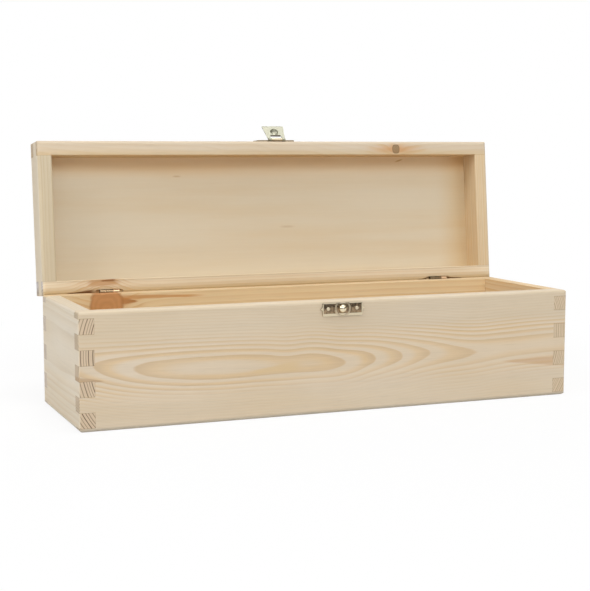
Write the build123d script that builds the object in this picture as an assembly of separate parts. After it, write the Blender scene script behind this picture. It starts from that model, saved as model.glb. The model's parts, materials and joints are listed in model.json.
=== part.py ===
from build123d import *
from math import cos, radians, sin
import os

# A finger-jointed pine box for one bottle. It is glued up as a closed block,
# then sawn all round into a base and a lid, which two small hinges join again.
# Millimetres. X runs along the length, Y to the back, Z up.
# The origin is the middle of the underside of the base.

# Box block before it is sawn
box_length = 350.0
box_depth = 106.0
wall = 10.0
finger_height = 9.75
lowest_finger_height = 2.5
edge_round = 2.5
corner_round = 1.2

# Base, lid and the saw cut between them
base_height = 75.0
lid_height = 22.5
saw_kerf = 2.5
rim_gap = 0.4
rim_round = 2.2
inner_edge_break = 0.4

# Plywood panels let into the underside of the base and the top of the lid
panel_thickness = 4.0
rebate_land = 4.0
rebate_corner = 3.0
panel_clearance = 0.1

# Lid hinges: rolled knuckles in a round pocket, leaves pressed into sawn slots
lid_open_angle = 95.9
stop_clearance = 0.3
hinge_from_end = 46.5
hinge_width = 13.8
hinge_knuckle_radius = 1.5
hinge_pin_radius = 0.6
leaf_thickness = 0.8
leaf_reach = 8.5
leaf_tilt = 45.0
barb_depth = 0.5
barb_pitch = 1.8
barb_count = 3
slot_clearance = 0.05
slot_end_clearance = 0.3
pocket_length = 20.0
pocket_clearance = 0.35
knuckle_gap = 0.3
pin_clearance = 0.05

# Catch on the front of the base: stamped plate, button and two nails.
# Catch and clasp sit together a little to the right of the middle of the front.
fittings_x = 1.3
plate_length = 28.6
plate_height = 8.8
plate_corner = 1.0
plate_thickness = 0.6
plate_tip_length = 1.8
plate_tip_width = 3.2
plate_tip_waist = 0.35
plate_tip_narrowing = 0.18
plate_border = 0.8
plate_sill = 0.9
plate_relief = 0.5
ring_inner_radius = 4.5
ring_outer_radius = 5.7
button_drop = 5.4
button_radius = 2.9
button_shank_radius = 1.0
button_shank_length = 6.0
nail_spacing = 20.6
nail_head_radius = 1.2
nail_head_height = 0.7
nail_head_round = 0.5
nail_shank_radius = 0.5
nail_length = 7.0
nail_point = 1.2
nail_tip_radius = 0.1
nail_hole_clearance = 0.03

# Clasp on the front of the lid: plate, pin and swinging flap
clasp_open_angle = 128.0
clasp_axis_rise = 1.8
clasp_knuckle_radius = 1.1
clasp_pin_radius = 0.5
clasp_row_width = 13.0
clasp_tongue_width = 8.0
clasp_wood_clearance = 0.3
flap_thickness = 0.5
flap_tip_width = 17.0
flap_tail = 1.4
flap_corner = 1.2
flap_cover_clearance = 0.3
flap_window_height = 3.4
lip_radius = 1.6
lip_angle = 55.0

# Places worked out from the sizes above
inner_length = box_length - 2 * wall
inner_depth = box_depth - 2 * wall
block_height = base_height + saw_kerf + lid_height
lid_drop = saw_kerf - rim_gap
lid_rim = base_height + rim_gap
lid_top = lid_rim + lid_height
front_face = -box_depth / 2
rebate_length = box_length - 2 * rebate_land
rebate_depth = box_depth - 2 * rebate_land

# The hinge axis lies so far inside the back face that the rounded back edges of
# base and lid meet, less the stop clearance, when the lid stands fully open.
half_open = radians(lid_open_angle / 2)
round_centre_rise = rim_round + rim_gap / 2
round_reach = rim_round + stop_clearance / 2 - round_centre_rise * cos(half_open)
hinge_inset = rim_round - round_reach / sin(half_open)
hinge_y = box_depth / 2 - hinge_inset
hinge_z = base_height + rim_gap / 2
lid_axis = Axis((0, hinge_y, hinge_z), (1, 0, 0))

catch_z = base_height - button_drop
clasp_y = front_face - clasp_wood_clearance - clasp_knuckle_radius
clasp_z = lid_rim + clasp_axis_rise
clasp_axis = Axis((0, clasp_y, clasp_z), (1, 0, 0))
plate_foot = (plate_height + plate_sill) / 2
clasp_plate_z = clasp_z + clasp_knuckle_radius + knuckle_gap + plate_foot


def open_lid(piece):
    """Turn a piece of the closed lid to where the open lid holds it."""
    return piece.rotate(lid_axis, -lid_open_angle)


def across(x, y, z):
    """A place whose own Z axis runs along the length of the box."""
    return Plane(origin=(x, y, z), x_dir=(0, 1, 0), z_dir=(1, 0, 0))


def on_front(x, z, out=0.0):
    """A place on the front face, looking out of the box."""
    return Plane(origin=(x, front_face - out, z), x_dir=(1, 0, 0), z_dir=(0, -1, 0))


def rod(radius, length, x, y, z):
    """A round bar along the length of the box, centred on a point."""
    return across(x, y, z) * Cylinder(radius, length)


# Wooden boards

def block_between(bottom, top, upright):
    """The box block from one level to another, its rim up or down, edges rounded."""
    height = top - bottom
    low_round, high_round = (edge_round, rim_round) if upright else (rim_round, edge_round)
    middle = Pos(0, 0, (bottom + top) / 2)
    plan = RectangleRounded(box_length, box_depth, corner_round)
    block = middle * extrude(plan, height / 2, both=True)
    for view, width in ((Plane.XZ, box_length), (Plane.YZ, box_depth)):
        outline = Rectangle(width, height)
        outline = fillet(outline.vertices().sort_by(Axis.Y)[:2], low_round)
        outline = fillet(outline.vertices().sort_by(Axis.Y)[-2:], high_round)
        block &= middle * extrude(view * outline, box_length, both=True)
    return block


def finger_levels(first):
    """Middle and height of every other finger of the block, from one of the two lowest."""
    count = round((block_height - lowest_finger_height) / finger_height)
    pitch = (block_height - lowest_finger_height) / count
    fingers = [(lowest_finger_height / 2, lowest_finger_height)]
    fingers += [(lowest_finger_height + (index + 0.5) * pitch, pitch) for index in range(count)]
    return fingers[first::2]


def long_board(side):
    """Front or back board of the block: it holds the lowest finger."""
    y = side * (box_depth - wall) / 2
    board = Pos(0, y, block_height / 2) * Box(inner_length, wall, block_height)
    for level, height in finger_levels(0):
        board += Pos(0, y, level) * Box(box_length, wall, height)
    return board


def end_board(side):
    """Left or right board of the block: its fingers fit between those of the others."""
    x = side * (box_length - wall) / 2
    board = Pos(x, 0, block_height / 2) * Box(wall, inner_depth, block_height)
    for level, height in finger_levels(1):
        board += Pos(x, 0, level) * Box(wall, box_depth, height)
    return board


def rounded_panel(length, depth, bottom):
    """A flat panel with the corners that a router leaves in its seat."""
    corner = rebate_corner - (rebate_length - length) / 2
    return Pos(0, 0, bottom) * extrude(RectangleRounded(length, depth, corner), panel_thickness)


def rim_break(level, outward):
    """The chamfer inside a rim, where outward is +1 for the base and -1 for the lid."""
    start = Plane(origin=(0, 0, level - outward * inner_edge_break), z_dir=(0, 0, outward))
    return extrude(start * Rectangle(inner_length, inner_depth), inner_edge_break, taper=-45)


def base_pieces():
    """The four boards and the bottom panel below the saw cut."""
    body = block_between(0, base_height, upright=True)
    seat = rounded_panel(rebate_length, rebate_depth, 0)
    shared_cuts = [seat, rim_break(base_height, 1)]
    front_cuts = nail_holes(catch_z) + [button_hole()]
    back_cuts = [cut for x in hinge_places() for cut in (pocket(x), leaf_slot(x, -1))]
    panel = rounded_panel(
        rebate_length - 2 * panel_clearance, rebate_depth - 2 * panel_clearance, 0
    )
    return {
        "base_front_board": (long_board(-1) & body) - shared_cuts - front_cuts,
        "base_back_board": (long_board(1) & body) - shared_cuts - back_cuts,
        "base_left_board": (end_board(-1) & body) - shared_cuts,
        "base_right_board": (end_board(1) & body) - shared_cuts,
        "base_bottom_panel": panel,
    }


def lid_pieces():
    """The four rails and the top panel above the saw cut, in the closed place."""
    body = block_between(lid_rim, lid_top, upright=False)
    panel_level = lid_top - panel_thickness
    seat = rounded_panel(rebate_length, rebate_depth, panel_level)
    shared_cuts = [seat, rim_break(lid_rim, -1)]
    front_cuts = nail_holes(clasp_plate_z)
    back_cuts = [cut for x in hinge_places() for cut in (pocket(x), leaf_slot(x, 1))]
    dropped = Pos(0, 0, -lid_drop)
    panel = rounded_panel(
        rebate_length - 2 * panel_clearance, rebate_depth - 2 * panel_clearance, panel_level
    )
    return {
        "lid_front_rail": ((dropped * long_board(-1)) & body) - shared_cuts - front_cuts,
        "lid_back_rail": ((dropped * long_board(1)) & body) - shared_cuts - back_cuts,
        "lid_left_rail": ((dropped * end_board(-1)) & body) - shared_cuts,
        "lid_right_rail": ((dropped * end_board(1)) & body) - shared_cuts,
        "lid_top_panel": panel,
    }


# Lid hinges, made in the closed place

def hinge_places():
    """Middles of the left and the right hinge."""
    return [side * (box_length / 2 - hinge_from_end) for side in (-1, 1)]


def pocket(x):
    """The round-ended pocket along the back seam that the knuckles turn in."""
    radius = hinge_knuckle_radius + pocket_clearance
    straight = pocket_length - 2 * radius
    shape = rod(radius, straight, x, hinge_y, hinge_z)
    for side in (-1, 1):
        shape += Pos(x + side * straight / 2, hinge_y, hinge_z) * Sphere(radius)
    return shape


def leaf_plane(x, side):
    """A leaf's own plane: X along the box, Y from the axis into the wood."""
    into = Vector(0, -cos(radians(leaf_tilt)), side * sin(radians(leaf_tilt)))
    along = Vector(1, 0, 0)
    return Plane(origin=(x, hinge_y, hinge_z), x_dir=along, z_dir=along.cross(into))


def leaf_slot(x, side):
    """The sawn slot for one leaf, a little wider and deeper than the leaf."""
    reach = leaf_reach + slot_end_clearance
    width = hinge_width + 2 * slot_end_clearance
    height = leaf_thickness + 2 * slot_clearance
    return leaf_plane(x, side) * Pos(0, reach / 2, 0) * Box(width, reach, height)


def leaf_sheet(x, side):
    """One leaf cut from sheet, with barbs along both sides that grip the slot."""
    half = hinge_width / 2
    outline = Rectangle(hinge_width, leaf_reach, align=(Align.CENTER, Align.MIN))
    for barb in range(barb_count):
        tail = leaf_reach - barb * barb_pitch
        for edge in (-1, 1):
            bite = Polyline(
                (edge * half, tail - barb_pitch),
                (edge * half, tail),
                (edge * (half - barb_depth), tail),
                close=True,
            )
            outline -= make_face(bite)
    return leaf_plane(x, side) * Pos(0, 0, -leaf_thickness / 2) * extrude(outline, leaf_thickness)


def hinge_pieces(name, x):
    """Base leaf with two knuckles, lid leaf with one between them, and the pin."""
    knuckle = (hinge_width - 2 * knuckle_gap) / 3
    step = knuckle + knuckle_gap
    bore = rod(hinge_pin_radius + pin_clearance, 2 * hinge_width, x, hinge_y, hinge_z)
    relief_radius = hinge_knuckle_radius + knuckle_gap
    middle = rod(hinge_knuckle_radius, knuckle, x, hinge_y, hinge_z)
    middle_relief = rod(relief_radius, knuckle + 2 * knuckle_gap, x, hinge_y, hinge_z)
    base_leaf = leaf_sheet(x, -1) - middle_relief
    lid_leaf = leaf_sheet(x, 1)
    for side in (-1, 1):
        outer_x = x + side * step
        base_leaf += rod(hinge_knuckle_radius, knuckle, outer_x, hinge_y, hinge_z)
        lid_leaf -= rod(relief_radius, knuckle + 2 * knuckle_gap, outer_x, hinge_y, hinge_z)
    return {
        name + "_hinge_base_leaf": base_leaf - bore,
        name + "_hinge_lid_leaf": lid_leaf + middle - bore,
        name + "_hinge_pin": rod(hinge_pin_radius, hinge_width, x, hinge_y, hinge_z),
    }


# Stamped plates and their nails

def plate_outline():
    """A plate with round corners and a small spear tip at each end."""
    body = RectangleRounded(plate_length, plate_height, plate_corner)
    outline = Pos(0, plate_height / 2 - plate_foot) * body
    root = plate_length / 2
    for side in (-1, 1):
        top = (side * root, plate_tip_width / 2)
        point = (side * (root + plate_tip_length), 0)
        foot = (side * root, -plate_tip_width / 2)
        waist_x = side * (root + plate_tip_length * plate_tip_waist)
        waist = plate_tip_width * plate_tip_narrowing
        tip = [
            ThreePointArc(top, (waist_x, waist), point),
            ThreePointArc(point, (waist_x, -waist), foot),
            Line(foot, top),
        ]
        outline += make_face(tip)
    return outline


def stamped_plate():
    """The sheet with its raised border, wider at the foot, lying on its own XY plane."""
    recess_height = plate_height - 2 * plate_border - plate_sill
    border = plate_outline() - Rectangle(plate_length - 2 * plate_border, recess_height)
    raised = extrude(border, plate_thickness + plate_relief)
    holes = nail_row(plate_thickness, nail_shank_radius + nail_hole_clearance)
    return extrude(plate_outline(), plate_thickness) + raised - holes


def nail_row(length, radius):
    """Two round bars, as the nails of a plate stand, up from the plate's own plane."""
    return [
        Pos(side * nail_spacing / 2, 0, length / 2) * Cylinder(radius, length)
        for side in (-1, 1)
    ]


def nail_holes(z):
    """The pilot holes behind a plate."""
    depth = nail_length + nail_hole_clearance
    radius = nail_shank_radius + nail_hole_clearance
    place = Plane(origin=(fittings_x, front_face, z), x_dir=(1, 0, 0), z_dir=(0, 1, 0))
    return [place * bar for bar in nail_row(depth, radius)]


def nail_pair(z):
    """The two round-headed nails of a plate, driven into the wood behind it."""
    nails = []
    for side in (-1, 1):
        seat = on_front(fittings_x + side * nail_spacing / 2, z, plate_thickness)
        head = Pos(0, 0, nail_head_height / 2) * Cylinder(nail_head_radius, nail_head_height)
        head = fillet(head.edges().sort_by(Axis.Z)[-1], nail_head_round)
        straight = nail_length + plate_thickness - nail_point
        shank = Pos(0, 0, -straight / 2) * Cylinder(nail_shank_radius, straight)
        tip = Pos(0, 0, -straight - nail_point / 2) * Cone(
            nail_tip_radius, nail_shank_radius, nail_point
        )
        nails.append(seat * (head + shank + tip))
    return Compound(children=nails)


# Catch on the base

def button_hole():
    """The pilot hole for the button's shank."""
    depth = button_shank_length + nail_hole_clearance
    place = Plane(origin=(fittings_x, front_face, catch_z), x_dir=(1, 0, 0), z_dir=(0, 1, 0))
    radius = button_shank_radius + nail_hole_clearance
    return place * Pos(0, 0, depth / 2) * Cylinder(radius, depth)


def catch_pieces():
    """The stamped plate with its rings, the domed button and the nails."""
    place = on_front(fittings_x, catch_z)
    ring = Circle(ring_outer_radius) - Circle(ring_inner_radius)
    rings = extrude(ring & plate_outline(), plate_thickness + plate_relief)
    shank_hole = Cylinder(button_shank_radius + nail_hole_clearance, 2 * button_shank_length)
    plate = stamped_plate() + rings - shank_hole
    shank_length = button_shank_length + plate_thickness
    shank = Pos(0, 0, -shank_length / 2) * Cylinder(button_shank_radius, shank_length)
    dome = Sphere(button_radius, arc_size1=0, align=(Align.CENTER, Align.CENTER, Align.MIN))
    return {
        "catch_plate": place * plate,
        "catch_button": on_front(fittings_x, catch_z, plate_thickness) * (dome + shank),
        "catch_nails": nail_pair(catch_z),
    }


# Clasp on the lid, made in the closed place with the flap hanging down

def clasp_plate():
    """The plate with a tongue at its foot, rolled round the pin."""
    tongue_height = clasp_plate_z - plate_foot - clasp_z + plate_border
    middle = on_front(fittings_x, clasp_z + tongue_height / 2, plate_thickness / 2)
    tongue = middle * Box(clasp_tongue_width, tongue_height, plate_thickness)
    knuckle = rod(clasp_knuckle_radius, clasp_tongue_width, fittings_x, clasp_y, clasp_z)
    bore = rod(clasp_pin_radius + pin_clearance, 2 * clasp_row_width, fittings_x, clasp_y, clasp_z)
    return on_front(fittings_x, clasp_plate_z) * stamped_plate() + tongue + knuckle - bore


def clasp_flap():
    """A sheet flap with two knuckles, a window round the tongue, a cup and a lip."""
    sheet_out = plate_thickness + plate_relief + flap_cover_clearance + flap_thickness / 2
    cup_inner = button_radius + flap_cover_clearance
    cup_outer = cup_inner + flap_thickness
    lip_height = lip_radius * sin(radians(lip_angle))
    flap_end = catch_z - cup_outer - flap_tail - lip_height
    top = (front_face - sheet_out, clasp_z)
    bend = (front_face - sheet_out, flap_end + lip_height)
    path = Line(top, bend) + JernArc(bend, (0, -1), lip_radius, -lip_angle)
    profile = trace(path, flap_thickness)
    sheet = extrude(across(fittings_x, 0, 0) * profile, flap_tip_width / 2, both=True)
    reach = clasp_z - flap_end
    blank = Polyline(
        (-clasp_row_width / 2, 0),
        (clasp_row_width / 2, 0),
        (flap_tip_width / 2, -reach),
        (-flap_tip_width / 2, -reach),
        close=True,
    )
    blank = make_face(blank)
    blank = fillet(blank.vertices().sort_by(Axis.Y)[:2], flap_corner)
    sheet &= on_front(fittings_x, clasp_z) * extrude(blank, flap_tip_width)
    cup_centre = Pos(fittings_x, front_face - plate_thickness, catch_z)
    sheet_back = front_face - sheet_out + flap_thickness / 2
    outside = Pos(fittings_x, sheet_back - cup_outer, catch_z) * Box(
        2 * cup_outer, 2 * cup_outer, 2 * cup_outer
    )
    flap = sheet + ((cup_centre * Sphere(cup_outer)) & outside)
    flap -= cup_centre * Sphere(cup_inner)
    window_width = clasp_tongue_width + 2 * knuckle_gap
    flap -= Pos(fittings_x, clasp_y, clasp_z) * Box(
        window_width, flap_tip_width, 2 * flap_window_height
    )
    ear = (clasp_row_width - window_width) / 2
    for side in (-1, 1):
        ear_x = fittings_x + side * (window_width + ear) / 2
        flap += rod(clasp_knuckle_radius, ear, ear_x, clasp_y, clasp_z)
    bore_radius = clasp_pin_radius + pin_clearance
    return flap - rod(bore_radius, 2 * clasp_row_width, fittings_x, clasp_y, clasp_z)


def clasp_pieces():
    """Plate, nails, pin and flap, with the flap turned up to its stop."""
    return {
        "clasp_plate": clasp_plate(),
        "clasp_nails": nail_pair(clasp_plate_z),
        "clasp_pin": rod(clasp_pin_radius, clasp_row_width, fittings_x, clasp_y, clasp_z),
        "clasp_flap": clasp_flap().rotate(clasp_axis, -clasp_open_angle),
    }


# All pieces, with the lid and what it carries turned open

pieces = base_pieces()
pieces.update(catch_pieces())
lid_side = lid_pieces()
lid_side.update(clasp_pieces())
for hinge_name, hinge_x in zip(("left", "right"), hinge_places()):
    for piece_name, piece in hinge_pieces(hinge_name, hinge_x).items():
        carried = lid_side if piece_name.endswith("lid_leaf") else pieces
        carried[piece_name] = piece
for piece_name, piece in lid_side.items():
    pieces[piece_name] = open_lid(piece)

os.makedirs("parts", exist_ok=True)
for piece_name, piece in pieces.items():
    export_step(piece, "parts/" + piece_name + ".step")
print("hinge axis", round(hinge_y, 3), round(hinge_z, 3), "inset", round(hinge_inset, 3))
print("clasp axis, closed", round(clasp_y, 3), round(clasp_z, 3))
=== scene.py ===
import json
from math import pi, radians

import bmesh
import bpy
from mathutils import Euler, Matrix, Vector

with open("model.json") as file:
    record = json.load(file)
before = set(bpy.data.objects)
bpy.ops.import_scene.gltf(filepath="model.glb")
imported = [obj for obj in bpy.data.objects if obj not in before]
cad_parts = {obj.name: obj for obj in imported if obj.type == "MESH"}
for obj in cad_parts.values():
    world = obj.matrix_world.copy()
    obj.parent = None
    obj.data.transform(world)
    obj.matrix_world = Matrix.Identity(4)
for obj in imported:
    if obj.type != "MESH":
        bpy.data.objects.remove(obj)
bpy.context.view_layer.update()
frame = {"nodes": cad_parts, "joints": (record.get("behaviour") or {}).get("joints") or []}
mm = 0.001
print("frame loaded:", len(frame["nodes"]), "nodes")


# Node trees: small helpers

def addNode(tree, kind, inputs=None, **settings):
    made = tree.nodes.new(kind)
    for name, value in settings.items():
        setattr(made, name, value)
    for name, value in (inputs or {}).items():
        if isinstance(value, bpy.types.NodeSocket):
            tree.links.new(value, made.inputs[name])
        else:
            made.inputs[name].default_value = value
    return made


def calc(tree, operation, first, second=0.0, third=0.0, clamp=False):
    made = addNode(tree, "ShaderNodeMath", {0: first, 1: second, 2: third}, operation=operation)
    made.use_clamp = clamp
    return made.outputs[0]


def plus(tree, first, second):
    return calc(tree, "ADD", first, second)


def minus(tree, first, second):
    return calc(tree, "SUBTRACT", first, second)


def times(tree, first, second):
    return calc(tree, "MULTIPLY", first, second)


def larger(tree, first, second):
    return calc(tree, "MAXIMUM", first, second)


def size(tree, value):
    return calc(tree, "ABSOLUTE", value)


def apart(tree, first, second):
    return size(tree, minus(tree, first, second))


def scaleAdd(tree, value, scale, add):
    return calc(tree, "MULTIPLY_ADD", value, scale, add)


def swing(tree, value, reach, middle=0.0):
    # noise from 0 to 1 becomes a change of half of reach either way
    return scaleAdd(tree, value, reach, middle - reach / 2)


def move(tree, operation, first, second=(0, 0, 0), scale=None):
    inputs = {0: first, 1: second}
    if scale is not None:
        inputs["Scale"] = scale
    made = addNode(tree, "ShaderNodeVectorMath", inputs, operation=operation)
    return made.outputs["Value" if operation == "LENGTH" else "Vector"]


def split(tree, vector):
    return addNode(tree, "ShaderNodeSeparateXYZ", {0: vector}).outputs


def ramp(tree, value, low, high, outLow=0.0, outHigh=1.0):
    inputs = {"Value": value, "From Min": low, "From Max": high, "To Min": outLow, "To Max": outHigh}
    made = addNode(tree, "ShaderNodeMapRange", inputs, interpolation_type="SMOOTHSTEP")
    return made.outputs["Result"]


def fade(tree, value, low, high, share=1.0):
    return ramp(tree, value, low, high, share, 0.0)


def mix(tree, share, first, second, blend="MIX"):
    made = addNode(tree, "ShaderNodeMix", {"Factor": share}, data_type="RGBA", blend_type=blend)
    for socket, value in zip(("A", "B"), (first, second)):
        target = [s for s in made.inputs if s.name == socket and s.type == "RGBA"][0]
        if isinstance(value, bpy.types.NodeSocket):
            tree.links.new(value, target)
        else:
            target.default_value = value
    return [s for s in made.outputs if s.type == "RGBA"][0]


def shade(tree, colour, lightness):
    grey = addNode(tree, "ShaderNodeCombineColor", {0: lightness, 1: lightness, 2: lightness})
    return mix(tree, 1.0, colour, grey.outputs[0], "MULTIPLY")


def noise(tree, place, cells, detail=2.0, rough=0.5, colour=False):
    # cells to a metre, along X, Y and Z
    place = addNode(tree, "ShaderNodeMapping", {"Vector": place, "Scale": cells}).outputs[0]
    inputs = {"Vector": place, "Scale": 1.0, "Detail": detail, "Roughness": rough}
    made = addNode(tree, "ShaderNodeTexNoise", inputs)
    return made.outputs["Color" if colour else "Fac"]


def wobble(tree, place, cells, detail, reach):
    # a small move of a point, up to half of reach each way
    shift = noise(tree, place, cells, detail, colour=True)
    return move(tree, "SCALE", move(tree, "SUBTRACT", shift, (0.5, 0.5, 0.5)), scale=reach)


def addBump(tree, shader, height, strength, distance):
    bump = addNode(tree, "ShaderNodeBump", {"Height": height, "Strength": strength, "Distance": distance})
    tree.links.new(bump.outputs[0], shader.inputs["Normal"])


def newGroup(name, inputs, outputs):
    tree = bpy.data.node_groups.new(name, "ShaderNodeTree")
    kinds = {"value": "NodeSocketFloat", "vector": "NodeSocketVector", "colour": "NodeSocketColor"}
    for label, kind in inputs:
        tree.interface.new_socket(name=label, in_out="INPUT", socket_type=kinds[kind])
    for label, kind in outputs:
        tree.interface.new_socket(name=label, in_out="OUTPUT", socket_type=kinds[kind])
    return tree, tree.nodes.new("NodeGroupInput").outputs, tree.nodes.new("NodeGroupOutput").inputs


def rgb(red, green, blue):
    # a colour as a painter reads it off a chart, 0 to 255
    def linear(part):
        part /= 255
        return part / 12.92 if part <= 0.04045 else ((part + 0.055) / 1.055) ** 2.4
    return (linear(red), linear(green), linear(blue), 1.0)


# The open lid: where a point of it lies when the block is still one piece

joints = {joint["name"]: joint for joint in frame["joints"]}
boxBlock = {
    "length": 350 * mm,
    "depth": 106 * mm,
    "height": 100 * mm,
    "wall": 10 * mm,
    "lowestFinger": 2.5 * mm,
    "finger": 9.75 * mm,
    "lidDrop": 2.1 * mm,  # how far the shut lid sits below its place in the block
}


def turnBack(name):
    # undo a joint: from where the photo shows its piece to the far end of its range
    pivot = Matrix.Translation(joints[name]["pos_m"])
    return pivot @ Matrix.Rotation(radians(joints[name]["range_deg"][1]), 4, "X") @ pivot.inverted()


def blockMapping(lid, endBoard, flap):
    # turn and place for a Mapping node, from the frame to the block, grain along X
    turn = turnBack("clasp_hinge") if flap else Matrix.Identity(4)
    if lid:
        turn = Matrix.Translation((0, 0, boxBlock["lidDrop"])) @ turnBack("lid_hinge") @ turn
    if endBoard:
        turn = Matrix.Rotation(-pi / 2, 4, "Z") @ turn
    return turn.to_translation(), turn.to_euler("XYZ")


def startMaterial(name, lid, endBoard=False, flap=False):
    # a material, and its surface's points and directions in the block
    made = bpy.data.materials.new(name)
    made.use_nodes = True
    tree = made.node_tree
    location, rotation = blockMapping(lid, endBoard, flap)
    source = tree.nodes.new("ShaderNodeTexCoord").outputs
    place = addNode(tree, "ShaderNodeMapping", {
        "Vector": source["Object"], "Location": location, "Rotation": rotation}).outputs[0]
    facing = addNode(tree, "ShaderNodeMapping", {
        "Vector": source["Normal"], "Rotation": rotation}, vector_type="VECTOR").outputs[0]
    return made, tree, tree.nodes["Principled BSDF"], place, facing


# Sawn pine: growth rings round a pith that lies along X, cut by every face of the board

pineGrain = {
    # noise cells to a metre, along the grain and both ways across it
    "swayCells": (7, 22, 22),
    "rippleCells": (30, 160, 160),
    "patchCells": (11, 60, 60),
    "fibreCells": (18, 1100, 1100),
    "broadCells": (6, 130, 130),
    "driftCells": (9, 26, 26),
    "poreCells": (60, 2600, 2600),
    "rippleShare": 0.22,  # of a ring's width
    "bunchCells": 0.45,  # noise cells to a ring
    # the part of a year's growth over which each colour comes or goes
    "warmSpan": (0.22, 0.62),
    "lateSpan": (0.52, 0.92),
    "springSpan": (0.9, 1.0),
    "endLateSpan": (0.62, 0.86),
    "endSpringSpan": (0.94, 1.0),
    # how much the rings vary from patch to patch and from year to year
    "patchSpan": (0.3, 0.6),
    "palestPatch": 0.55,
    "luckShare": 0.35,
    "endLuckShare": 0.4,
    # lightness and tint
    "fibreShade": 0.10,
    "broadShade": 0.12,
    "driftShade": 0.08,
    "poreSpan": (0.30, 0.45),
    "poreShade": 0.94,
    "driftSpan": (0.35, 0.7),
    "warmTint": (1.0, 0.985, 0.955, 1),
    "coolTint": (1.0, 1.01, 1.03, 1),
    "endFacing": (0.6, 0.95),  # how far a face has turned when it is end grain
    # relief and gloss
    "fibreHeight": 0.5,
    "lateHeight": 0.35,
    "reliefStrength": 0.35,
    "reliefDepth": 0.15 * mm,
    "roughness": 0.62,
    "lateGloss": 0.12,
    "specular": 0.3,
}


def makePineGroup():
    grain = pineGrain
    tree, given, out = newGroup(
        "sawnPine",
        [("Place", "vector"), ("Facing", "vector"), ("Pith", "vector"), ("Rings", "value"),
         ("Ring Width", "value"), ("Wander", "value"), ("Uneven", "value"), ("Depth", "value"),
         ("Early Wood", "colour"), ("Warm Wood", "colour"), ("Late Wood", "colour"),
         ("End Early", "colour"), ("End Late", "colour"), ("Seed", "value")],
        [("Color", "colour"), ("Height", "value"), ("Roughness", "value")],
    )
    seed = addNode(tree, "ShaderNodeCombineXYZ", {axis: given["Seed"] for axis in "XYZ"}).outputs[0]
    seeded = move(tree, "ADD", given["Place"], seed)

    # slow sway of the rings along the board, and a finer ripple
    place = move(tree, "ADD", given["Place"],
                 wobble(tree, seeded, grain["swayCells"], 1.5, given["Wander"]))
    rippleReach = times(tree, given["Ring Width"], grain["rippleShare"])
    place = move(tree, "ADD", place, wobble(tree, seeded, grain["rippleCells"], 2.0, rippleReach))
    fromPith = move(tree, "MULTIPLY", move(tree, "SUBTRACT", place, given["Pith"]), (0, 1, 1))
    radius = move(tree, "LENGTH", fromPith)
    count = plus(tree, calc(tree, "DIVIDE", radius, given["Ring Width"]), given["Rings"])
    bunch = addNode(tree, "ShaderNodeTexNoise", {"W": count, "Scale": grain["bunchCells"], "Detail": 1.0},
                    noise_dimensions="1D").outputs["Fac"]
    count = plus(tree, count, times(tree, minus(tree, bunch, 0.5), given["Uneven"]))
    year = calc(tree, "FLOOR", count)
    season = minus(tree, count, year)
    luck = addNode(tree, "ShaderNodeTexWhiteNoise", {"W": plus(tree, year, given["Seed"])},
                   noise_dimensions="1D").outputs["Value"]

    # each ring warms slowly to its late wood, which ends sharply at the next spring
    patchy = noise(tree, seeded, grain["patchCells"], 1.0)
    strength = ramp(tree, patchy, *grain["patchSpan"], grain["palestPatch"], 1.0)
    strength = times(tree, strength, fade(tree, season, *grain["springSpan"]))
    strength = times(tree, strength, scaleAdd(tree, luck, grain["luckShare"], 1 - grain["luckShare"]))
    warmth = times(tree, ramp(tree, season, *grain["warmSpan"]), strength)
    late = times(tree, ramp(tree, season, *grain["lateSpan"]), strength)
    colour = mix(tree, times(tree, warmth, given["Depth"]), given["Early Wood"], given["Warm Wood"])
    colour = mix(tree, times(tree, late, given["Depth"]), colour, given["Late Wood"])

    # fibres, pores, and the drift of colour over the board
    fibre = noise(tree, seeded, grain["fibreCells"], 3.0, 0.6)
    broad = noise(tree, seeded, grain["broadCells"], 3.0, 0.55)
    drift = noise(tree, seeded, grain["driftCells"])
    pores = noise(tree, seeded, grain["poreCells"])
    lightness = swing(tree, fibre, grain["fibreShade"], 1.0)
    lightness = plus(tree, lightness, swing(tree, broad, grain["broadShade"]))
    lightness = plus(tree, lightness, swing(tree, drift, grain["driftShade"]))
    lightness = times(tree, lightness, ramp(tree, pores, *grain["poreSpan"], grain["poreShade"], 1.0))
    tint = mix(tree, ramp(tree, drift, *grain["driftSpan"]), grain["warmTint"], grain["coolTint"])
    colour = mix(tree, 1.0, colour, tint, "MULTIPLY")

    # end grain has colours of its own, and crisp thin rings
    end = ramp(tree, size(tree, split(tree, given["Facing"])["X"]), *grain["endFacing"])
    endLine = ramp(tree, season, *grain["endLateSpan"])
    endLine = times(tree, endLine, fade(tree, season, *grain["endSpringSpan"]))
    endLine = times(tree, endLine, scaleAdd(tree, luck, grain["endLuckShare"], 1 - grain["endLuckShare"]))
    colour = mix(tree, end, colour, mix(tree, endLine, given["End Early"], given["End Late"]))
    tree.links.new(shade(tree, colour, lightness), out["Color"])
    height = times(tree, fibre, grain["fibreHeight"])
    height = plus(tree, height, times(tree, late, grain["lateHeight"]))
    tree.links.new(height, out["Height"])
    tree.links.new(scaleAdd(tree, late, -grain["lateGloss"], grain["roughness"]), out["Roughness"])
    return tree


# A branch that crosses the board: the rings bend round it

knotShape = {
    "squareness": 2.7,  # 2 is an ellipse
    "raggedCells": (160, 90, 160),
    "raggedShare": 0.3,  # of its half width
    "ringCount": 22.0,
    "insideShare": 0.9,
    "calmStain": 0.15,  # where the stain is stronger, the rings keep their full depth
    # reaches, where 1 is the knot's own outline
    "pushReach": (1.9, 1.15),
    "stainHeight": 0.9,
    "insideSpan": (0.9, 1.05),
    "edgeStart": (0.86, 0.98),
    "edgeEnd": (1.0, 1.1),
}


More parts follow.
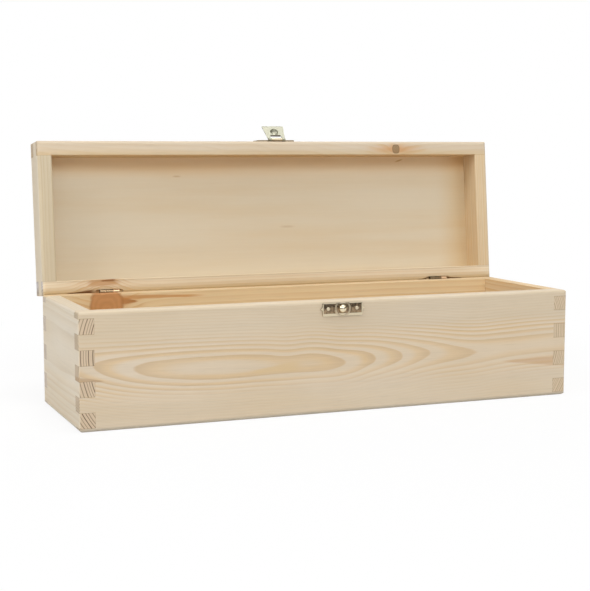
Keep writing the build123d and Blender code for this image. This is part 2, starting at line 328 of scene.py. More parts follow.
def makeKnotGroup():
    tree, given, out = newGroup(
        "branchKnot",
        [("Place", "vector"), ("Centre", "vector"), ("Half Width", "value"), ("Half Height", "value"),
         ("Reach", "value"), ("Spread", "value")],
        [("Push", "value"), ("Inside", "value"), ("Edge", "value"), ("Rings", "value"), ("Stain", "value")],
    )
    # the knot's own X and Z are the board's, its Y the way the branch grows
    raggedReach = times(tree, given["Half Width"], knotShape["raggedShare"])
    ragged = wobble(tree, given["Place"], knotShape["raggedCells"], 2.0, raggedReach)
    offset = move(tree, "SUBTRACT", given["Place"], given["Centre"])
    parts = split(tree, move(tree, "ADD", offset, ragged))
    across = size(tree, calc(tree, "DIVIDE", parts["X"], given["Half Width"]))
    upward = size(tree, calc(tree, "DIVIDE", parts["Z"], given["Half Height"]))
    squareness = knotShape["squareness"]
    total = plus(tree, calc(tree, "POWER", across, squareness), calc(tree, "POWER", upward, squareness))
    distance = calc(tree, "POWER", total, 1 / squareness)

    def hump(wide, high):
        wideShare = calc(tree, "POWER", calc(tree, "DIVIDE", across, wide), 2.0)
        highShare = calc(tree, "POWER", calc(tree, "DIVIDE", upward, high), 2.0)
        return calc(tree, "EXPONENT", times(tree, plus(tree, wideShare, highShare), -1.0))

    tree.links.new(times(tree, hump(*knotShape["pushReach"]), given["Reach"]), out["Push"])
    tree.links.new(hump(given["Spread"], knotShape["stainHeight"]), out["Stain"])
    tree.links.new(fade(tree, distance, *knotShape["insideSpan"]), out["Inside"])
    edge = ramp(tree, distance, *knotShape["edgeStart"])
    tree.links.new(times(tree, edge, fade(tree, distance, *knotShape["edgeEnd"])), out["Edge"])
    rings = calc(tree, "SINE", times(tree, distance, knotShape["ringCount"]))
    tree.links.new(scaleAdd(tree, rings, 0.5, 0.5), out["Rings"])
    return tree


# The glued seams of the finger joint, on the corners where the ends of the boards show

seamLook = {
    "width": 0.16 * mm,
    "core": 0.4,  # share of the width that is fully dark
    "colour": rgb(122, 92, 60),
    "share": 0.55,
    "topGap": 0.3 * mm,  # no row of fingers starts so near to the top
}


def makeSeamGroup():
    tree, given, out = newGroup(
        "fingerSeams",
        [("Place", "vector"), ("Shoulder", "value"), ("First Finger", "value"), ("Finger", "value"),
         ("Own Row", "value"), ("Top", "value"), ("Width", "value")],
        [("Seam", "value")],
    )
    core = times(tree, given["Width"], seamLook["core"])
    parts = split(tree, given["Place"])
    past = minus(tree, size(tree, parts["X"]), given["Shoulder"])
    height = calc(tree, "MINIMUM", parts["Z"], given["Top"])
    level = calc(tree, "DIVIDE", minus(tree, height, given["First Finger"]), given["Finger"])
    row = calc(tree, "FLOOR", level)
    inRow = minus(tree, level, row)
    toLine = calc(tree, "MINIMUM", inRow, minus(tree, 1.0, inRow))
    flat = fade(tree, times(tree, toLine, given["Finger"]), core, given["Width"])
    flat = times(tree, flat, calc(tree, "GREATER_THAN", past, 0.0))
    parity = calc(tree, "PINGPONG", plus(tree, row, given["Own Row"]), 1.0)
    upright = fade(tree, size(tree, past), core, given["Width"])
    upright = times(tree, upright, calc(tree, "LESS_THAN", parity, 0.5))
    tree.links.new(larger(tree, flat, upright), out["Seam"])
    return tree


pineGroup = makePineGroup()
knotGroup = makeKnotGroup()
seamGroup = makeSeamGroup()

# the four planks of the block; places in mm, grain along X, end boards turned so
planks = {
    "front": {
        "pithY": -30.5, "ringWidth": 1.5, "wander": 0.9, "uneven": 0.0,
        "depth": 0.85, "seed": 0.31, "calm": (38, 12, 22, 0.2),
        "early": rgb(212, 196, 173), "warm": rgb(212, 184, 142), "late": rgb(197, 173, 142),
        # painted shade: the front board's inner face warmer and darker, in the base and the lid
        "tonesShadeAndHighlights": [{"axis": "Y", "span": (-43.3, -43.05), "tone": (0.97, 0.85, 0.70), "on": "both"},
                  # painted highlight: the base's front rim lighter
                  {"axis": "Z", "span": (74.0, 74.8), "tone": (1.14, 1.17, 1.22), "on": "base"},
                  # painted shade: the lid's front rail warmer and darker towards its inner face
                  {"axis": "Y", "span": (-48.0, -44.0), "tone": (0.96, 0.90, 0.77), "on": "lid"},
                  {"axis": "Z", "span": (50, 60), "tone": (0.95, 0.95, 0.93), "on": "base"},
                  {"axis": "Z", "span": (22, 12), "tone": (0.95, 0.95, 0.93), "on": "base"},
                  # painted shade: darker along the bottom edge, where the box meets the floor
                  {"axis": "Z", "span": (3.2, 0.6), "tone": (0.78, 0.82, 0.88), "on": "base"}],
        "endEarly": rgb(198, 179, 153), "endLate": rgb(146, 119, 91),
        # along the board: x, how many rings deeper the face lies, height of the pith's line
        "figure": [(-175, 2.2, 42.0), (-168, 1.93, 41.0), (-141, 0.92, 38.0), (-115, 0.35, 36.5),
                   (-85, 0.12, 35.7), (-55, 0.25, 35.4), (-38, 0.42, 34.6), (-20, 0.34, 34.8),
                   (2, 0.8, 33.6), (25, 1.82, 35.0), (45, 2.82, 35.2), (66, 3.84, 35.6),
                   (101, 4.82, 34.8), (125, 5.15, 36.4), (150, 5.25, 37.6), (175, 5.28, 38.0)],
        "stainsAndShadows": [{"from": (126, 26.8), "to": (172, 24.8), "half": (0.8, 4.4), "on": "base",
                    "colour": rgb(194, 158, 120), "share": 0.6},
                   {"from": (-160, 31.5), "to": (-178, 33.0), "half": (0.6, 2.6), "on": "base",
                    "colour": rgb(176, 144, 108), "share": 0.7},
                   {"from": (-62, 31.0), "to": (-29, 33.2), "half": (1.2, 4.2), "on": "base",
                    "colour": rgb(208, 182, 138), "share": 0.55}],
        "knots": [{"centre": (97, -47.2, 77), "half": (2.9, 3.2), "reach": 1.6, "spread": 5.5,
                   "grows": "up", "on": "lid", "stainAndShadow": rgb(200, 148, 96), "stainShare": 0.85,
                   "heart": rgb(164, 138, 102), "edge": rgb(92, 66, 40), "ringShare": 0.6, "rim": 0.65}],
    },
    "back": {
        "pithY": 112, "pithZ": 34, "ringWidth": 1.9, "wander": 2.0, "uneven": 1.4,
        "depth": 0.7, "seed": 1.73, "calm": (34, 27, 34, 0.35),
        "early": rgb(238, 214, 172), "warm": rgb(234, 198, 144), "late": rgb(210, 166, 108),
        "tonesShadeAndHighlights": [{"axis": "Z", "span": (76, 77), "tone": (0.95, 1.03, 1.24), "on": "lid"},
                  # painted shade: the lid's back rail darker and warmer from mid-rim to its outer face,
                  # beside the gap at the seam
                  {"axis": "Y", "span": (46.0, 51.5), "tone": (0.72, 0.64, 0.50), "on": "lid"},
                  # painted shade: the inner edge of the lid's back rim darker
                  {"axis": "Y", "span": (44.8, 43.6), "tone": (0.88, 0.86, 0.83), "on": "lid"},
                  # painted shade: the base's back rim darker
                  {"axis": "Z", "span": (74.3, 74.9), "tone": (0.82, 0.80, 0.80), "on": "base"}],
        "endEarly": rgb(206, 192, 175), "endLate": rgb(164, 145, 126),
        "stainsAndShadows": [{"from": (-123, 69.8), "to": (-111, 68.8), "half": (3.9, 0.6), "on": "base",
                    "colour": rgb(184, 122, 64), "share": 0.9},
                   # painted shadow: dark lines in the gap between the lid's back rail and the base, left of
                   # the left hinge and on both sides of the right one
                   {"from": (-158, 52.2), "to": (-139, 51.4), "half": (0.9, 1.9), "on": "lid",
                    "acrossY": True, "below": 79.0, "colour": rgb(112, 70, 30), "share": 0.95},
                   {"from": (111, 52.6), "to": (123, 51.6), "half": (0.7, 1.6), "on": "lid",
                    "acrossY": True, "below": 79.0, "colour": rgb(112, 70, 30), "share": 0.9},
                   {"from": (152, 52.6), "to": (134, 51.6), "half": (0.7, 1.6), "on": "lid",
                    "acrossY": True, "below": 79.0, "colour": rgb(112, 70, 30), "share": 0.9},
                   {"from": (-143, 45.2), "to": (-121, 44.2), "half": (3.6, 3.2), "on": "lid",
                    "acrossY": True, "below": 79.0, "colour": rgb(200, 144, 84), "share": 0.7},
                   {"from": (-134, 44.0), "to": (-124, 43.6), "half": (0.8, 1.2), "on": "lid",
                    "acrossY": True, "below": 79.0, "colour": rgb(146, 92, 42), "share": 0.85},
                   {"from": (-124, 72.0), "to": (-64, 71.2), "half": (1.9, 0.9), "on": "base",
                    "colour": rgb(208, 150, 88), "share": 0.8}],
        "knots": [{"centre": (-133, 0, 64), "half": (11.6, 14), "reach": 2.2, "spread": 1.5,
                   "grows": "back", "on": "base", "stainAndShadow": rgb(206, 150, 92), "stainShare": 0.4,
                   "heart": rgb(206, 146, 90), "edge": rgb(170, 112, 62), "ringShare": 0.22, "rim": 0.4},
                  {"centre": (-132.5, 0, 64), "half": (9.0, 11.5), "reach": -11.0, "spread": 2.4,
                   "grows": "back", "on": "lid", "stainAndShadow": rgb(214, 158, 100), "stainShare": 0.6,
                   "heart": rgb(212, 152, 94), "edge": rgb(180, 122, 70), "ringShare": 0.2, "rim": 0.4}],
    },
    "left": {
        "pithY": 108, "pithZ": 46, "ringWidth": 1.9, "wander": 2.5, "uneven": 0.8,
        "depth": 0.38, "seed": 2.47, "calm": (45, 60, 70, 1.0),
        "early": rgb(218, 206, 186), "warm": rgb(214, 195, 164), "late": rgb(194, 171, 138),
        "tonesShadeAndHighlights": [{"axis": "Y", "span": (174.9, 173.8), "tone": (0.88, 0.85, 0.76), "on": "lid"},
                  # painted shade: darker along the bottom edge, where the box meets the floor
                  {"axis": "Z", "span": (3.2, 0.6), "tone": (0.85, 0.87, 0.90), "on": "base"}],
        "endEarly": rgb(204, 183, 156), "endLate": rgb(84, 62, 42),
    },
    "right": {
        "pithY": -101, "pithZ": 44, "ringWidth": 1.4, "wander": 3.0, "uneven": 1.0,
        "depth": 0.5, "seed": 3.11, "calm": (45, 60, 70, 1.0),
        "early": rgb(222, 198, 161), "warm": rgb(221, 187, 137), "late": rgb(201, 161, 109),
        "tonesShadeAndHighlights": [{"axis": "Z", "span": (76, 77), "tone": (0.94, 0.95, 0.97), "on": "lid"},
                  {"axis": "Y", "span": (-172.5, -174.5), "tone": (1.02, 1.10, 1.25), "on": "lid"}],
        "endEarly": rgb(206, 186, 158), "endLate": rgb(160, 138, 110),
    },
}
figureTops = {"rings": 10.0, "height": 100.0}  # the most that the figure's two curves hold
streakLook = {
    "raggedCells": (60, 700, 700),
    "ragged": 0.8,  # of its half width
    "edgeSpan": (0.45, 1.1),
    "startSpan": (-0.1, 0.15),  # of its length
    "endSpan": (0.8, 1.1),
    "endMargin": 4 * mm,  # a streak that ends nearer to the plank's end runs on
}


def drawCurve(tree, along, points, top):
    # a value along the plank, drawn as a curve through points from 0 to top
    half = boxBlock["length"] / 2
    span = addNode(tree, "ShaderNodeMapRange", {"Value": along, "From Min": -half, "From Max": half})
    made = addNode(tree, "ShaderNodeFloatCurve", {"Value": span.outputs[0]})
    curve = made.mapping.curves[0]
    while len(curve.points) < len(points):
        curve.points.new(0.5, 0.5)
    for point, (x, value) in zip(curve.points, points):
        point.location = (x * mm / (2 * half) + 0.5, value / top)
    made.mapping.update()
    return times(tree, made.outputs[0], top)


def addKnot(tree, place, knot):
    x, y, z = [part * mm for part in knot["centre"]]
    if knot["grows"] == "up":
        turned = {"Vector": place, "Rotation": (-pi / 2, 0, 0)}
        place = addNode(tree, "ShaderNodeMapping", turned).outputs[0]
        y, z = z, -y
    halfWidth, halfHeight = knot["half"]
    return addNode(tree, "ShaderNodeGroup", {
        "Place": place, "Centre": (x, y, z), "Half Width": halfWidth * mm, "Half Height": halfHeight * mm,
        "Reach": knot["reach"], "Spread": knot["spread"]}, node_tree=knotGroup).outputs


def paintKnot(tree, colour, knot, masks):
    colour = mix(tree, times(tree, masks["Stain"], knot["stainShare"]), colour, knot["stainAndShadow"])
    inside = mix(tree, times(tree, masks["Rings"], knot["ringShare"]), knot["heart"], knot["edge"])
    colour = mix(tree, times(tree, masks["Inside"], knotShape["insideShare"]), colour, inside)
    return mix(tree, times(tree, masks["Edge"], knot["rim"]), colour, knot["edge"])


def paintStreak(tree, place, colour, stainAndShadow):
    # a streak along the grain that widens from one end to the other
    (x0, middle0), (x1, middle1) = stainAndShadow["from"], stainAndShadow["to"]
    half0, half1 = stainAndShadow["half"]
    parts = split(tree, place)
    spread = parts["Y" if stainAndShadow.get("acrossY") else "Z"]
    along = calc(tree, "DIVIDE", minus(tree, parts["X"], x0 * mm), (x1 - x0) * mm)
    middle = scaleAdd(tree, along, (middle1 - middle0) * mm, middle0 * mm)
    half = scaleAdd(tree, along, (half1 - half0) * mm, half0 * mm)
    off = calc(tree, "DIVIDE", apart(tree, spread, middle), half)
    rough = noise(tree, place, streakLook["raggedCells"])
    off = plus(tree, off, swing(tree, rough, streakLook["ragged"]))
    mask = fade(tree, off, *streakLook["edgeSpan"], stainAndShadow["share"])
    mask = times(tree, mask, ramp(tree, along, *streakLook["startSpan"]))
    if abs(x1) * mm < boxBlock["length"] / 2 - streakLook["endMargin"]:
        mask = times(tree, mask, fade(tree, along, *streakLook["endSpan"]))
    if "below" in stainAndShadow:
        mask = times(tree, mask, calc(tree, "LESS_THAN", parts["Z"], stainAndShadow["below"] * mm))
    return mix(tree, mask, colour, stainAndShadow["colour"])


def paintToneShadeHighlight(tree, parts, colour, tone):
    # a board a little darker, lighter or warmer towards one side; many of these tones are painted shade,
    # and one is a painted highlight
    low, high = tone["span"]
    value = parts[tone["axis"]]
    if low > high:
        low, high, value = -low, -high, times(tree, value, -1.0)
    share = ramp(tree, value, low * mm, high * mm)
    return mix(tree, share, colour, mix(tree, 1.0, colour, (*tone["tone"], 1.0), "MULTIPLY"))


def plankMaterial(name, plankName, lid, endBoard):
    plank = planks[plankName]
    made, tree, shader, place, facing = startMaterial(name, lid, endBoard)
    parts = split(tree, place)

    def onThisHalf(kind):
        return [mark for mark in plank.get(kind, []) if mark["on"] in ("both", "lid" if lid else "base")]

    # the pith runs along the plank; the figure is where its rings meet the face
    rings = 0.0
    if "figure" in plank:
        ringPoints = [(x, value) for x, value, _ in plank["figure"]]
        linePoints = [(x, value) for x, _, value in plank["figure"]]
        rings = drawCurve(tree, parts["X"], ringPoints, figureTops["rings"])
        pithHeight = times(tree, drawCurve(tree, parts["X"], linePoints, figureTops["height"]), mm)
    else:
        pithHeight = plank["pithZ"] * mm
    pith = addNode(tree, "ShaderNodeCombineXYZ", {"X": 0.0, "Y": plank["pithY"] * mm, "Z": pithHeight})
    knots = onThisHalf("knots")
    masks = [addKnot(tree, place, knot) for knot in knots]
    for mask in masks:
        rings = plus(tree, mask["Push"], rings)

    # the figure fades towards the edges of the plank, but not near a knot
    calmMiddle, calmFrom, calmTo, calmShare = plank["calm"]
    offCentre = apart(tree, parts["Z"], calmMiddle * mm)
    depth = ramp(tree, offCentre, calmFrom * mm, calmTo * mm, plank["depth"], plank["depth"] * calmShare)
    for mask in masks:
        nearKnot = ramp(tree, mask["Stain"], 0.0, knotShape["calmStain"], 0.0, plank["depth"])
        depth = larger(tree, depth, nearKnot)
    wood = addNode(tree, "ShaderNodeGroup", {
        "Place": place, "Facing": facing, "Pith": pith.outputs[0], "Rings": rings,
        "Ring Width": plank["ringWidth"] * mm, "Wander": plank["wander"] * mm, "Uneven": plank["uneven"],
        "Depth": depth, "Early Wood": plank["early"], "Warm Wood": plank["warm"],
        "Late Wood": plank["late"], "End Early": plank["endEarly"], "End Late": plank["endLate"],
        "Seed": plank["seed"]}, node_tree=pineGroup).outputs
    colour = wood["Color"]
    for stainAndShadow in onThisHalf("stainsAndShadows"):
        colour = paintStreak(tree, place, colour, stainAndShadow)
    for knot, mask in zip(knots, masks):
        colour = paintKnot(tree, colour, knot, mask)
    for tone in onThisHalf("tonesShadeAndHighlights"):
        colour = paintToneShadeHighlight(tree, parts, colour, tone)

    across = boxBlock["depth"] if endBoard else boxBlock["length"]
    seams = addNode(tree, "ShaderNodeGroup", {
        "Place": place, "Shoulder": across / 2 - boxBlock["wall"], "First Finger": boxBlock["lowestFinger"],
        "Finger": boxBlock["finger"], "Own Row": 1.0 if endBoard else 0.0,
        "Top": boxBlock["height"] - seamLook["topGap"], "Width": seamLook["width"]}, node_tree=seamGroup)
    seam = times(tree, seams.outputs["Seam"], seamLook["share"])
    tree.links.new(mix(tree, seam, colour, seamLook["colour"]), shader.inputs["Base Color"])
    tree.links.new(wood["Roughness"], shader.inputs["Roughness"])
    relief = minus(tree, wood["Height"], seam)
    addBump(tree, shader, relief, pineGrain["reliefStrength"], pineGrain["reliefDepth"])
    shader.inputs["Specular IOR Level"].default_value = pineGrain["specular"]
    return made


def setMaterial(node, material):
    slots = frame["nodes"][node].material_slots
    if not slots:
        frame["nodes"][node].data.materials.append(material)
    for slot in slots:
        slot.material = material


for side, endBoard in (("front", False), ("back", False), ("left", True), ("right", True)):
    setMaterial("base_" + side + "_board", plankMaterial(side + "Board", side, False, endBoard))
    setMaterial("lid_" + side + "_rail", plankMaterial(side + "Rail", side, True, endBoard))
print("pine set")


# Thin plywood panels

plywood = {
    "face": rgb(222, 208, 182),
    "streak": rgb(219, 200, 168),
    "core": rgb(168, 138, 104),
    "thickness": 4 * mm,
    "plies": 3,
    # noise cells to a metre, along the grain and both ways across it
    "streakCells": (5, 60, 60),
    "fibreCells": (14, 900, 900),
    "cloudCells": (9, 16, 16),
    "streakSpan": (0.35, 0.75),
    "fibreShade": 0.05,
    "cloudShade": 0.06,
    "roughness": 0.6,
    "specular": 0.3,
    "reliefStrength": 0.2,
    "reliefDepth": 0.1 * mm,
    # small marks inside the lid: place, half size and turn, in mm and degrees
    "flecks": [{"at": (13.5, 8.6), "half": (7.5, 1.2), "turn": 0, "share": 0.4},
               {"at": (-71, -29.4), "half": (4.0, 0.9), "turn": 0, "share": 0.55},
               {"at": (108.3, -40.2), "half": (4.4, 0.85), "turn": -17, "share": 0.95}],
    "fleck": rgb(190, 160, 118),
    "fleckSpan": (0.2, 1.1),
    # painted shade: the lid's panel is warmer and darker along its frame, below its front rail and beside
    # its right rail
    "tonesShadeAndHighlights": [{"axis": "Y", "span": (-26, -39), "tone": (1.02, 0.89, 0.74)},
              {"axis": "X", "span": (138, 162), "tone": (0.94, 0.86, 0.73)}],
}


def paintInside(tree, place, parts, colour):
    # the marks of the lid's inner face, and its painted shade
    for fleck in plywood["flecks"]:
        x, y = fleck["at"]
        long, wide = fleck["half"]
        spot = addNode(tree, "ShaderNodeMapping", {
            "Vector": place, "Location": (x * mm, y * mm, 0), "Rotation": (0, 0, radians(fleck["turn"])),
            "Scale": (long * mm, wide * mm, 0)}, vector_type="TEXTURE").outputs[0]
        mask = fade(tree, move(tree, "LENGTH", spot), *plywood["fleckSpan"], fleck["share"])
        colour = mix(tree, mask, colour, plywood["fleck"])
    for tone in plywood["tonesShadeAndHighlights"]:
        colour = paintToneShadeHighlight(tree, parts, colour, tone)
    return colour


def panelMaterial(name, lid, bottom, seed):
    made, tree, shader, place, facing = startMaterial(name, lid)
    parts = split(tree, place)
    seeded = move(tree, "ADD", place, (seed, seed, seed))
    streak = noise(tree, seeded, plywood["streakCells"], 4.0, 0.55)
    fibre = noise(tree, seeded, plywood["fibreCells"], 3.0, 0.6)
    cloud = noise(tree, seeded, plywood["cloudCells"])
    colour = mix(tree, ramp(tree, streak, *plywood["streakSpan"]), plywood["face"], plywood["streak"])
    if lid:
        inner = calc(tree, "LESS_THAN", parts["Z"], bottom + plywood["thickness"] / 2)
        colour = mix(tree, inner, colour, paintInside(tree, place, parts, colour))

    # the edges show the plies, the cross plies dark with end grain
    ply = minus(tree, parts["Z"], bottom)
    ply = calc(tree, "DIVIDE", ply, plywood["thickness"] / plywood["plies"])
    crossing = calc(tree, "PINGPONG", calc(tree, "FLOOR", ply), 1.0)
    edge = calc(tree, "LESS_THAN", size(tree, split(tree, facing)["Z"]), 0.5)
    colour = mix(tree, times(tree, edge, crossing), colour, plywood["core"])
    lightness = swing(tree, fibre, plywood["fibreShade"], 1.0)
    lightness = plus(tree, lightness, swing(tree, cloud, plywood["cloudShade"]))
    tree.links.new(shade(tree, colour, lightness), shader.inputs["Base Color"])
    shader.inputs["Roughness"].default_value = plywood["roughness"]
    shader.inputs["Specular IOR Level"].default_value = plywood["specular"]
    addBump(tree, shader, fibre, plywood["reliefStrength"], plywood["reliefDepth"])
    return made


lidPanelBottom = boxBlock["height"] - plywood["thickness"]
setMaterial("lid_top_panel", panelMaterial("lidPanelPly", True, lidPanelBottom, seed=0.4))
setMaterial("base_bottom_panel", panelMaterial("basePanelPly", False, bottom=0.0, seed=1.9))
print("plywood set")


# Plated steel: brown patina and painted shade in the hollows of the plates, painted shade below the clasp's
# window, dull hinges

fittings = {
    "middle": 1.3 * mm,  # catch and clasp sit a little right of the middle
    "frontFace": -53 * mm,
    "sheet": 0.6 * mm,
    "catch": 69.6 * mm,  # height of the middle of each plate in the block
    "clasp": 85.55 * mm,
    "flapAxis": 79.3 * mm,
    "flapWindow": (4.3 * mm, 3.4 * mm),  # half width, and reach below the axis
    "hingeMiddle": 128.5 * mm,
    "hingeBright": 2.4 * mm,  # further right of its middle, a hinge is lighter
    "rightDarkening": 0.5,
    "mottleCells": (700, 700, 700),
    "reliefStrength": 0.15,
    "reliefDepth": 0.05 * mm,
}
metalColours = {
    "bright": rgb(230, 216, 186),
    "flap": rgb(172, 171, 154),
    "tarnish": rgb(158, 134, 102),
    "patinaAndShade": rgb(62, 46, 22),
    "hinge": rgb(152, 130, 102),
    "hingeEnd": rgb(214, 180, 144),
}
roughness = {"plate": 0.3, "flap": 0.46, "hinge": 0.4, "button": 0.2, "nail": 0.3}
# mottle from and to, and how far the plating has worn off there
wear = {
    "plate": (0.55, 0.8, 0.0, 0.25),
    "flap": (0.5, 0.8, 0.0, 0.3),
    "hinge": (0.4, 0.7, 0.0, 0.6),
    "bright": (0.52, 0.8, 0.0, 0.25),
}
plateDirtAndShade = {
    "recess": (13.5 * mm, 3.15 * mm),  # half length and half height
    "hollow": (0.05 * mm, 0.45 * mm),  # heights over the recess where dirt thins out, and ends
    "creep": 0.6 * mm,  # how far it spreads over the border
    "upperShare": 0.9,
    "endShare": 0.8,
    # radius, where it starts to fade, where it ends, darkness
    "rings": [(4.5 * mm, 0.09 * mm, 0.3 * mm, 0.8), (5.15 * mm, 0.06 * mm, 0.2 * mm, 0.75)],
    "outline": (6.6 * mm, 0.1 * mm, 0.5 * mm, 0.7),
    "halo": (4.0 * mm, 4.4 * mm, 5.8 * mm, 6.3 * mm),
    "haloShare": 0.6,
    # painted shade: the recess darker towards the top, under its upper border
    "haloRise": (-5.0 * mm, 0.0, 0.3, 1.0),
    "darkRise": (-2.6 * mm, 2.4 * mm, 0.1, 1.0),  # darker towards the top
    "darkMottle": (0.35, 0.65, -0.4, 0.3),
    "depth": 0.8,  # how far the patina and painted shade hide the metal
}
flapPaintedShade = {
    "start": 0.2 * mm,  # above the end of the window
    "span": (0.9 * mm, 1.4 * mm),
    "side": 0.7 * mm,
    "share": 0.95,
}


def startMetal(name, lid, rough, flap=False):
    made, tree, shader, place, _ = startMaterial(name, lid, flap=flap)
    mottle = noise(tree, place, fittings["mottleCells"], 3.0)
    shader.inputs["Metallic"].default_value = 1.0
    shader.inputs["Roughness"].default_value = rough
    addBump(tree, shader, mottle, fittings["reliefStrength"], fittings["reliefDepth"])
    return made, tree, shader, split(tree, place), mottle


def fadePast(tree, value, start, reach, share):
    # full just past the start, nothing before it or beyond its reach
    past = calc(tree, "GREATER_THAN", value, start)
    return times(tree, past, fade(tree, value, start, start + reach, share))


def ringMask(tree, radius, ring):
    middle, solid, end, share = ring
    return fade(tree, apart(tree, radius, middle), solid, end, share)


def plateMaterial(name, lid, plateHeight):
    made, tree, shader, parts, mottle = startMetal(name, lid, roughness["plate"])
    across = apart(tree, parts["X"], fittings["middle"])
    rise = minus(tree, parts["Z"], plateHeight)
    proud = minus(tree, fittings["frontFace"] - fittings["sheet"], parts["Y"])
    hollow = fade(tree, proud, *plateDirtAndShade["hollow"])

    # patina in the recess; painted shade makes it darker towards the top and lays it over the upper and end
    # borders
    recessEnd, recessTop = plateDirtAndShade["recess"]
    upper = fadePast(tree, rise, recessTop, plateDirtAndShade["creep"], plateDirtAndShade["upperShare"])
    beside = fadePast(tree, across, recessEnd, plateDirtAndShade["creep"], plateDirtAndShade["endShare"])
    beside = times(tree, beside, calc(tree, "LESS_THAN", size(tree, rise), recessTop))
    share = larger(tree, hollow, larger(tree, upper, beside))
    dark = ramp(tree, rise, *plateDirtAndShade["darkRise"])
    dark = calc(tree, "ADD", dark, ramp(tree, mottle, *plateDirtAndShade["darkMottle"]), clamp=True)
    if not lid:
        # pressed rings round the button
        squares = plus(tree, calc(tree, "POWER", across, 2.0), calc(tree, "POWER", size(tree, rise), 2.0))
        radius = calc(tree, "SQRT", squares)
        for ring in plateDirtAndShade["rings"]:
            share = larger(tree, share, ringMask(tree, radius, ring))
        haloFrom, haloFull, haloFade, haloEnd = plateDirtAndShade["halo"]
        halo = ramp(tree, radius, haloFrom, haloFull)
        halo = times(tree, halo, fade(tree, radius, haloFade, haloEnd, plateDirtAndShade["haloShare"]))
        halo = times(tree, halo, ramp(tree, rise, *plateDirtAndShade["haloRise"]))
        share = larger(tree, share, halo)
        dark = larger(tree, dark, ringMask(tree, radius, plateDirtAndShade["outline"]))
    dirtAndShade = mix(tree, dark, metalColours["tarnish"], metalColours["patinaAndShade"])
    worn = ramp(tree, mottle, *wear["plate"])
    colour = mix(tree, worn, metalColours["bright"], metalColours["tarnish"])
    tree.links.new(mix(tree, share, colour, dirtAndShade), shader.inputs["Base Color"])
    tree.links.new(scaleAdd(tree, share, -plateDirtAndShade["depth"], 1.0), shader.inputs["Metallic"])
    return made


def flapMaterial(name):
    # painted shade below the window, inside its width
    made, tree, shader, parts, mottle = startMetal(name, True, roughness["flap"], flap=True)
    halfWidth, reach = fittings["flapWindow"]
    across = apart(tree, parts["X"], fittings["middle"])
    below = minus(tree, fittings["flapAxis"], parts["Z"])
    fadeFrom, fadeTo = flapPaintedShade["span"]
    paintedShade = fade(tree, below, reach + fadeFrom, reach + fadeTo)
    paintedShade = times(tree, paintedShade, calc(tree, "GREATER_THAN", below, reach - flapPaintedShade["start"]))
    paintedShade = times(tree, paintedShade, fade(tree, across, halfWidth - flapPaintedShade["side"], halfWidth, flapPaintedShade["share"]))
    worn = ramp(tree, mottle, *wear["flap"])
    colour = mix(tree, worn, metalColours["flap"], metalColours["tarnish"])
    tree.links.new(mix(tree, paintedShade, colour, metalColours["patinaAndShade"]), shader.inputs["Base Color"])
    tree.links.new(minus(tree, 1.0, paintedShade), shader.inputs["Metallic"])
    return made


def hingeMaterial(name, lid):
    made, tree, shader, parts, mottle = startMetal(name, lid, roughness["hinge"])
    side = calc(tree, "SIGN", parts["X"])
    offset = scaleAdd(tree, side, -fittings["hingeMiddle"], parts["X"])
    lighterEnd = calc(tree, "GREATER_THAN", offset, fittings["hingeBright"])
    worn = ramp(tree, mottle, *wear["hinge"])
    dull = mix(tree, worn, metalColours["hinge"], metalColours["tarnish"])
    onRight = larger(tree, side, 0.0)  # the right hinge is the darker one
    dull = mix(tree, times(tree, onRight, fittings["rightDarkening"]), dull, metalColours["patinaAndShade"])
    tree.links.new(mix(tree, lighterEnd, dull, metalColours["hingeEnd"]), shader.inputs["Base Color"])
    return made


def brightMaterial(name, lid, rough):
    made, tree, shader, parts, mottle = startMetal(name, lid, rough)
    worn = ramp(tree, mottle, *wear["bright"])
    colour = mix(tree, worn, metalColours["bright"], metalColours["tarnish"])
    tree.links.new(colour, shader.inputs["Base Color"])
    return made


setMaterial("catch_plate", plateMaterial("catchPlate", False, fittings["catch"]))
setMaterial("clasp_plate", plateMaterial("claspPlate", True, fittings["clasp"]))
setMaterial("clasp_flap", flapMaterial("claspFlap"))
setMaterial("catch_button", brightMaterial("catchButton", False, roughness["button"]))
for node, lid in (("catch_nails", False), ("clasp_nails", True), ("clasp_pin", True)):
    setMaterial(node, brightMaterial(node, lid, roughness["nail"]))
for node in frame["nodes"]:
    if "_hinge_" in node:
        setMaterial(node, hingeMaterial(node, "_lid_" in node))
print("fittings set")


# Floor, lamps and camera

stageSet = {
    "floorSize": 6.0,
    "floorColour": rgb(236, 236, 236),
    "shadowShare": 0.12,  # how much of the floor's own shading the camera sees near the box
    "shadowReach": (0.15, 0.5),
    "skyStrength": 0.457,
    "darkBand": (-0.05, 0.02, 0.4, 0.6),  # heights between which metal mirrors a dark room
    "darkShare": 0.8,
}


def seenDirectly(tree, seen):
    # the camera sees the background white, and so do metal and glass
    direct = larger(tree, seen["Is Camera Ray"], seen["Is Glossy Ray"])
    return larger(tree, direct, seen["Is Transmission Ray"])


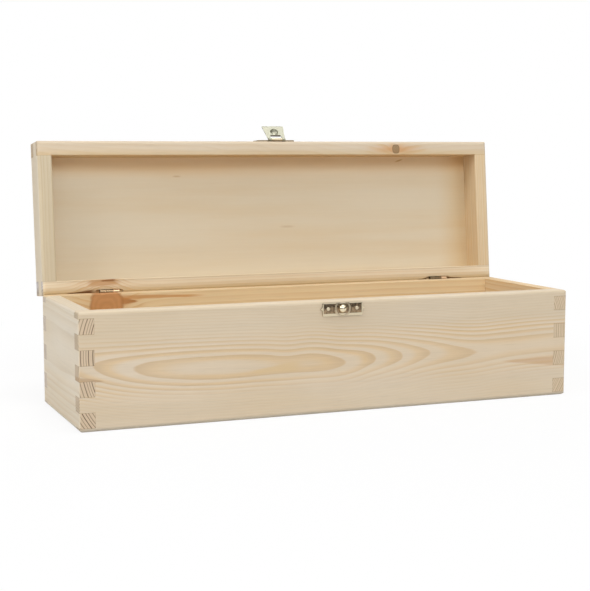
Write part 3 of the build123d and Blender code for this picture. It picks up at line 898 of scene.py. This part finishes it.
def makeFloor():
    mesh = bpy.data.meshes.new("floor")
    shape = bmesh.new()
    bmesh.ops.create_grid(shape, x_segments=1, y_segments=1, size=stageSet["floorSize"] / 2)
    shape.to_mesh(mesh)
    shape.free()
    floor = bpy.data.objects.new("floor", mesh)
    bpy.context.scene.collection.objects.link(floor)
    made = bpy.data.materials.new("paleFloor")
    made.use_nodes = True
    tree = made.node_tree
    tree.nodes.clear()
    diffuse = addNode(tree, "ShaderNodeBsdfDiffuse", {"Color": stageSet["floorColour"]})
    white = addNode(tree, "ShaderNodeEmission", {"Color": (1, 1, 1, 1), "Strength": 1.0})
    direct = seenDirectly(tree, addNode(tree, "ShaderNodeLightPath").outputs)
    spot = addNode(tree, "ShaderNodeTexCoord").outputs["Object"]
    near = fade(tree, move(tree, "LENGTH", spot), *stageSet["shadowReach"])
    share = times(tree, direct, scaleAdd(tree, near, -stageSet["shadowShare"], 1.0))
    blend = addNode(tree, "ShaderNodeMixShader", {0: share, 1: diffuse.outputs[0], 2: white.outputs[0]})
    target = tree.nodes.new("ShaderNodeOutputMaterial")
    tree.links.new(blend.outputs[0], target.inputs["Surface"])
    mesh.materials.append(made)


def makeWorld():
    world = bpy.data.worlds.new("studio")
    bpy.context.scene.world = world
    world.use_nodes = True
    tree = world.node_tree
    background = tree.nodes["Background"]
    seen = addNode(tree, "ShaderNodeLightPath").outputs
    sky = stageSet["skyStrength"]
    strength = scaleAdd(tree, seenDirectly(tree, seen), 1.0 - sky, sky)
    height = split(tree, addNode(tree, "ShaderNodeTexCoord").outputs["Generated"])["Z"]
    lowFrom, lowTo, highFrom, highTo = stageSet["darkBand"]
    dark = times(tree, ramp(tree, height, lowFrom, lowTo), fade(tree, height, highFrom, highTo))
    dark = times(tree, times(tree, dark, seen["Is Glossy Ray"]), stageSet["darkShare"])
    tree.links.new(times(tree, strength, minus(tree, 1.0, dark)), background.inputs["Strength"])
    background.inputs["Color"].default_value = (1, 1, 1, 1)


lampSet = {
    "size": 0.6,
    "target": (0, 0, 0.09),
    "lamps": [{"name": "keyLamp", "at": (-0.27, -1.53, 1.0), "power": 7.4},
              {"name": "leftLamp", "at": (-1.5, -0.4, 1.18), "power": 9.9},
              {"name": "topLamp", "at": (0.1, -0.25, 1.9), "power": 11.2},
              {"name": "rightLamp", "at": (0.78, -1.35, 1.18), "power": 2.7},
              {"name": "backLamp", "at": (0.5, 1.7, 0.7), "power": 8.0}],
}


def makeLamp(lamp):
    data = bpy.data.lights.new(lamp["name"], "AREA")
    data.shape = "DISK"
    data.size = lampSet["size"]
    data.energy = lamp["power"]
    made = bpy.data.objects.new(lamp["name"], data)
    bpy.context.scene.collection.objects.link(made)
    made.location = lamp["at"]
    aim = Vector(lampSet["target"]) - made.location
    made.rotation_euler = aim.to_track_quat("-Z", "Y").to_euler()


camera = {
    "at": (-0.35649, -0.84924, 0.17477),
    "turn": (83.674, -0.031, -22.155),  # degrees
    "lens": 81.285,
    "sensor": 36,
    "clip": (0.01, 100),
}


def makeCamera():
    data = bpy.data.cameras.new("camera")
    data.sensor_width = camera["sensor"]
    data.lens = camera["lens"]
    data.clip_start, data.clip_end = camera["clip"]
    made = bpy.data.objects.new("camera", data)
    bpy.context.scene.collection.objects.link(made)
    made.location = camera["at"]
    made.rotation_euler = Euler([radians(angle) for angle in camera["turn"]])
    bpy.context.scene.camera = made


makeFloor()
makeWorld()
for lamp in lampSet["lamps"]:
    makeLamp(lamp)
makeCamera()
bpy.context.scene.view_settings.view_transform = "Standard"
print("stage set")
